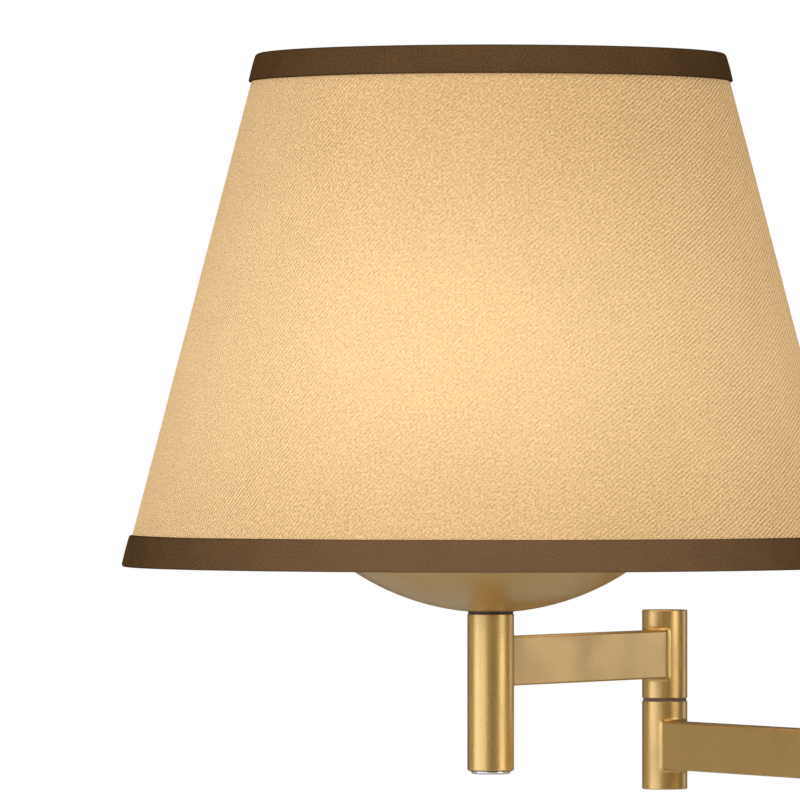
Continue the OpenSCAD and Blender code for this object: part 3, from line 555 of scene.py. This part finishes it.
def trim_piece(name, node, rim, way, edge):
    """A band of trim round the shade, cut and glued by hand, so its edge wanders a little."""
    outline = trim_profile(rim, way, edge)
    near_edge, wander = 0.004, 0.00012
    points = []
    for i in range(TURNS):
        a = TAU * i / TURNS
        sway = noise.noise(Vector((2.2 * math.cos(a), 2.2 * math.sin(a), 7 * way)))
        for off, z in outline:
            if off >= 0 and abs(z - edge) < near_edge:
                z += wander * sway
            r = linen_r(z) + off
            points.append((POST.x + r * math.cos(a), POST.y + r * math.sin(a), z))
    piece = mesh_piece(name, points, loop_faces(TURNS, len(outline)), "brown_trim", "upper_arm")
    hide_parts(node)
    return piece


cloth, cloth_flat, cloth_area = linen_piece()
bands = [
    trim_piece("top_band", "trim_top", SHADE_TOP, -1, TRIM_TOP_EDGE),
    trim_piece("bottom_band", "trim_bottom", SHADE_BOTTOM, 1, TRIM_BOTTOM_EDGE),
]


# ---------------------------------------------------------------- brazed joints of the bars

def bar_outline():
    """Points round a bar's section with the outward direction at each, as (y, z, ny, nz).

    Each pass makes one round corner and then the straight side after it, which runs along
    (dy, dz) with its outward side to the right of that way.
    """
    y, z = BAR_T / 2 - BAR_EDGE, BAR_H / 2 - BAR_EDGE
    round_steps, side_steps = 6, 8
    corners = ((1, -1, -90, 0, 1), (1, 1, 0, -1, 0), (-1, 1, 90, 0, -1), (-1, -1, 180, 1, 0))
    out = []
    for sy, sz, start, dy, dz in corners:
        for i in range(round_steps + 1):
            a = math.radians(start + 90 * i / round_steps)
            ny, nz = math.cos(a), math.sin(a)
            out.append((sy * y + BAR_EDGE * ny, sz * z + BAR_EDGE * nz, ny, nz))
        last_y, last_z = out[-1][:2]
        span = 2 * z if dy == 0 else 2 * y
        for i in range(1, side_steps):
            part = span * i / side_steps
            out.append((last_y + dy * part, last_z + dz * part, dz, -dy))
    return out


def fillet(name, rod, towards, body):
    """The small hollow fillet of braze where a bar meets a rod at the point rod."""
    size, sunk_by, crease = 0.0017, 0.0002, math.radians(50)
    along = Vector((towards.x - rod.x, towards.y - rod.y, 0)).normalized()
    side = Vector((-along.y, along.x, 0))
    outline = bar_outline()
    steps = 6
    points = []
    for y, z, ny, nz in outline:
        x = math.sqrt(ROD_R ** 2 - y ** 2)
        y1, z1 = y + size * ny, z + size * nz
        x1 = math.sqrt(ROD_R ** 2 - y1 ** 2)
        foot, corner, tip = Vector((x1, y1, z1)), Vector((x, y, z)), Vector((x + size, y, z))
        ring = []
        for k in range(steps):
            t = k / (steps - 1)
            ring.append(foot * (1 - t) ** 2 + corner * 2 * t * (1 - t) + tip * t ** 2)
        sunk = Vector((x - sunk_by, y - sunk_by * ny, z - sunk_by * nz))
        for p in ring + [sunk]:
            points.append(rod + along * p.x + side * p.y + Vector((0, 0, p.z)))
    piece = mesh_piece(name, points, loop_faces(len(outline), steps + 1), "satin_brass", body)
    piece.data.set_sharp_from_angle(angle=crease)


fillet("bracket_braze", Vector((WALL_LOW.x, WALL_LOW.y, 0)), Vector((WALL_LOW.x, 0, 0)),
       "wall_bracket")
fillet("lower_arm_wall_braze", WALL_TOP, ELBOW_LOW, "lower_arm")
fillet("lower_arm_elbow_braze", ELBOW_LOW, WALL_TOP, "lower_arm")
post_joint = Vector((POST.x, POST.y, ELBOW_TOP.z))
fillet("upper_arm_elbow_braze", ELBOW_TOP, post_joint, "upper_arm")
fillet("upper_arm_post_braze", post_joint, ELBOW_TOP, "upper_arm")


# ---------------------------------------------------------------- studio

def area_light(name, at, aim, size, power, colour=(1.0, 1.0, 1.0)):
    """A soft box at a place, turned to what it lights."""
    data = bpy.data.lights.new(name, "AREA")
    data.shape = "RECTANGLE"
    data.size, data.size_y = size
    data.energy = power
    data.color = colour
    light = bpy.data.objects.new(name, data)
    light.location = at
    light.rotation_mode = "QUATERNION"
    light.rotation_quaternion = (Vector(aim) - Vector(at)).to_track_quat("-Z", "Y")
    bpy.context.scene.collection.objects.link(light)


def around(angle, distance, height):
    """A place round the post. The angle is 0 at the camera and grows to the camera's right."""
    a = math.radians(angle)
    return (POST.x + distance * math.cos(a), POST.y + distance * math.sin(a), height)


def studio_lights():
    foot_of_shade = (POST.x, POST.y, POST.z + 0.08)
    cool = (0.98, 1.03, 1.18)
    area_light("left_screen", around(-48, 1.8, 0.50), foot_of_shade,
               size=(1.9, 1.8), power=17, colour=cool)
    area_light("left_box", around(-80, 1.7, 0.50), foot_of_shade,
               size=(0.7, 1.6), power=6, colour=cool)
    area_light("right_box", around(58, 1.8, 0.40), foot_of_shade, size=(0.9, 1.5), power=10.5)
    area_light("top_box", around(0, 0.9, 1.9), foot_of_shade, size=(1.2, 1.2), power=14)


def studio_room():
    """The room that the brass mirrors; a camera sees plain white instead."""
    world = bpy.data.worlds.new("studio")
    bpy.context.scene.world = world
    world.use_nodes = True
    tree = world.node_tree
    tree.nodes.clear()

    def node(kind, *values, operation=None):
        new = tree.nodes.new(kind)
        if operation:
            new.operation = operation
        for socket, value in zip(new.inputs, values):
            if isinstance(value, bpy.types.NodeSocket):
                tree.links.new(value, socket)
            else:
                socket.default_value = value
        return new

    # Darker towards the floor and brighter towards the ceiling
    place = tree.nodes.new("ShaderNodeTexCoord").outputs["Generated"]
    height = node("ShaderNodeSeparateXYZ", place).outputs[2]
    level = node("ShaderNodeMapRange", height, -0.6, 0.7, 0.6, 1.25).outputs[0]
    # Brighter walls on a dim room: the angle of each, how narrow it is and how much it adds
    walls = ((0, 8, 0.20), (-119, 30, 0.60), (118, 80, 2.3))
    total = 0.17
    lobe = 0.0
    for angle, tight, amount in walls:
        a = math.radians(angle)
        facing = node("ShaderNodeVectorMath", place, (math.cos(a), math.sin(a), 0.0),
                      operation="DOT_PRODUCT").outputs["Value"]
        facing = node("ShaderNodeMath", facing, 0.0, operation="MAXIMUM").outputs[0]
        lobe = node("ShaderNodeMath", facing, tight, operation="POWER").outputs[0]
        total = node("ShaderNodeMath", lobe, amount, total, operation="MULTIPLY_ADD").outputs[0]
    # The last wall is white and the rest of the room is warm
    tint = tree.nodes.new("ShaderNodeMix")
    tint.data_type = "RGBA"
    tree.links.new(lobe, tint.inputs[0])
    tint.inputs[6].default_value = (1.0, 0.87, 0.64, 1.0)
    tint.inputs[7].default_value = (1.0, 1.0, 1.0, 1.0)
    lit = node("ShaderNodeBackground", tint.outputs[2],
               node("ShaderNodeMath", total, level, operation="MULTIPLY").outputs[0])
    seen = node("ShaderNodeBackground", (1, 1, 1, 1), 1.0)
    camera_ray = tree.nodes.new("ShaderNodeLightPath").outputs["Is Camera Ray"]
    mix = node("ShaderNodeMixShader", camera_ray, lit.outputs[0], seen.outputs[0])
    node("ShaderNodeOutputWorld", mix.outputs[0])


def floor():
    """A plain pale disc below the lamp."""
    b = bmesh.new()
    bmesh.ops.create_circle(b, cap_ends=True, segments=96, radius=1.6)
    mesh = bpy.data.meshes.new("floor")
    b.to_mesh(mesh)
    b.free()
    n = Nodes("pale_floor")
    grain = n.noise(n.place, 40, 3.0)
    n.set(Base_Color=n.mix(grain, (0.86, 0.86, 0.86), (0.90, 0.90, 0.90)), Roughness=0.9)
    # The disc looks as pale as a lit studio floor but throws no more light on the lamp, and it
    # is clear from below, so that it doesn't hide the lamp
    seen = n.add("ShaderNodeLightPath", "Is Camera Ray")
    n.set(Emission_Color=(0.98, 0.98, 1.0),
          Emission_Strength=n.math("MULTIPLY", seen, 0.42))
    n.set(Alpha=n.math("SUBTRACT", 1.0, n.add("ShaderNodeNewGeometry", "Backfacing")))
    mesh.materials.append(n.material)
    disc = bpy.data.objects.new("floor", mesh)
    disc.location = (POST.x, POST.y, FLOOR_Z)
    bpy.context.scene.collection.objects.link(disc)


studio_lights()
studio_room()
floor()
bpy.context.scene.view_settings.view_transform = "Standard"
